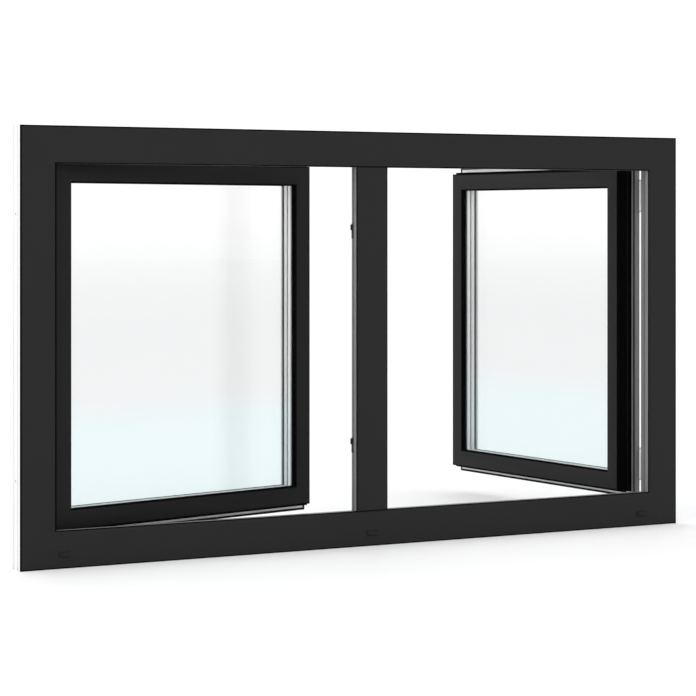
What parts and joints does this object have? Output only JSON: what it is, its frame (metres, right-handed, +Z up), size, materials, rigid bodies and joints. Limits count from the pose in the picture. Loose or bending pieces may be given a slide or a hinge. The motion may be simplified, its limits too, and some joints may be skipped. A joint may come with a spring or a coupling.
{
  "type": "casement window",
  "caption": "Wide two-light window with a fixed post and side-hung sashes that open inwards, triple glazed, black outside and white inside.",
  "frame": {"origin": "middle of the sill's flat underside", "axes": "+X along the width, +Y from the weather side to the room side, +Z up"},
  "size_m": [1.8, 0.9087, 1],
  "materials": {
    "foiled_profile": "black film outside, white film inside, grey core between",
    "white_profile": "satin white",
    "zinc_steel": "zinc plated",
    "spacer_metal": "mill finish",
    "clear_glass": "clear",
    "black_rubber": "matt",
    "black_plastic": "matt",
    "white_metal": "white powder coat",
    "handle_metal": "satin anodised"
  },
  "bodies": {
    "frame": {"drain_caps": "black_plastic", "frame_head": "foiled_profile", "frame_left_jamb": "foiled_profile", "frame_mullion": "foiled_profile", "frame_reinforcement": "zinc_steel", "frame_right_jamb": "foiled_profile", "frame_sill": "foiled_profile", "hinge_pins": "zinc_steel", "left_frame_seal": "black_rubber", "left_hinge_frame_leaves": "white_metal", "lock_keeps": "zinc_steel", "right_frame_seal": "black_rubber", "right_hinge_frame_leaves": "white_metal"},
    "left_sash": {"left_bottom_bead": "white_profile", "left_flange_seal": "black_rubber", "left_glass_spacers": "spacer_metal", "left_handle_rose": "handle_metal", "left_hinge_sash_leaves": "white_metal", "left_hinge_side_bead": "white_profile", "left_inner_gasket": "black_rubber", "left_inner_pane": "clear_glass", "left_lock_case": "zinc_steel", "left_lock_side_bead": "white_profile", "left_middle_pane": "clear_glass", "left_outer_gasket": "black_rubber", "left_outer_pane": "clear_glass", "left_sash_bottom_rail": "foiled_profile", "left_sash_hinge_stile": "foiled_profile", "left_sash_lock_stile": "foiled_profile", "left_sash_reinforcement": "zinc_steel", "left_sash_top_rail": "foiled_profile", "left_setting_blocks": "black_plastic", "left_top_bead": "white_profile"},
    "right_sash": {"right_bottom_bead": "white_profile", "right_flange_seal": "black_rubber", "right_glass_spacers": "spacer_metal", "right_handle_rose": "handle_metal", "right_hinge_sash_leaves": "white_metal", "right_hinge_side_bead": "white_profile", "right_inner_gasket": "black_rubber", "right_inner_pane": "clear_glass", "right_lock_case": "zinc_steel", "right_lock_side_bead": "white_profile", "right_middle_pane": "clear_glass", "right_outer_gasket": "black_rubber", "right_outer_pane": "clear_glass", "right_sash_bottom_rail": "foiled_profile", "right_sash_hinge_stile": "foiled_profile", "right_sash_lock_stile": "foiled_profile", "right_sash_reinforcement": "zinc_steel", "right_sash_top_rail": "foiled_profile", "right_setting_blocks": "black_plastic", "right_top_bead": "white_profile"},
    "left_handle": {"left_handle_knob": "handle_metal", "left_handle_spindle": "zinc_steel"},
    "right_handle": {"right_handle_knob": "handle_metal", "right_handle_spindle": "zinc_steel"},
    "left_rod": {"left_lock_rod": "zinc_steel"},
    "right_rod": {"right_lock_rod": "zinc_steel"}
  },
  "joints": [
    {"name": "left_sash_swing", "type": "hinge", "parent": "frame", "child": "left_sash", "pos_m": [-0.846, 0.048, 0.5], "axis": [0, 0, 1], "range_deg": [-15, 75]},
    {"name": "right_sash_swing", "type": "hinge", "parent": "frame", "child": "right_sash", "pos_m": [0.846, 0.048, 0.5], "axis": [0, 0, -1], "range_deg": [-87.5, 2.5]},
    {"name": "left_handle_turn", "type": "hinge", "parent": "left_sash", "child": "left_handle", "pos_m": [-0.07812, 0.25582, 0.5], "axis": [0.2588, -0.9659, 0], "range_deg": [0, 90]},
    {"name": "right_handle_turn", "type": "hinge", "parent": "right_sash", "child": "right_handle", "pos_m": [0.8133, 0.84283, 0.5], "axis": [0.999, 0.0436, 0], "range_deg": [0, 90]},
    {"name": "left_rod_slide", "type": "slide", "parent": "left_sash", "child": "left_rod", "axis": [0, 0, 1], "range_m": [0, 0.018]},
    {"name": "right_rod_slide", "type": "slide", "parent": "right_sash", "child": "right_rod", "axis": [0, 0, -1], "range_m": [0, 0.018]}
  ],
  "couplings": [
    {"joint": "left_handle_turn", "follows": "left_rod_slide", "rad_per_m": 87.266},
    {"joint": "right_handle_turn", "follows": "right_rod_slide", "rad_per_m": 87.266}
  ]
}
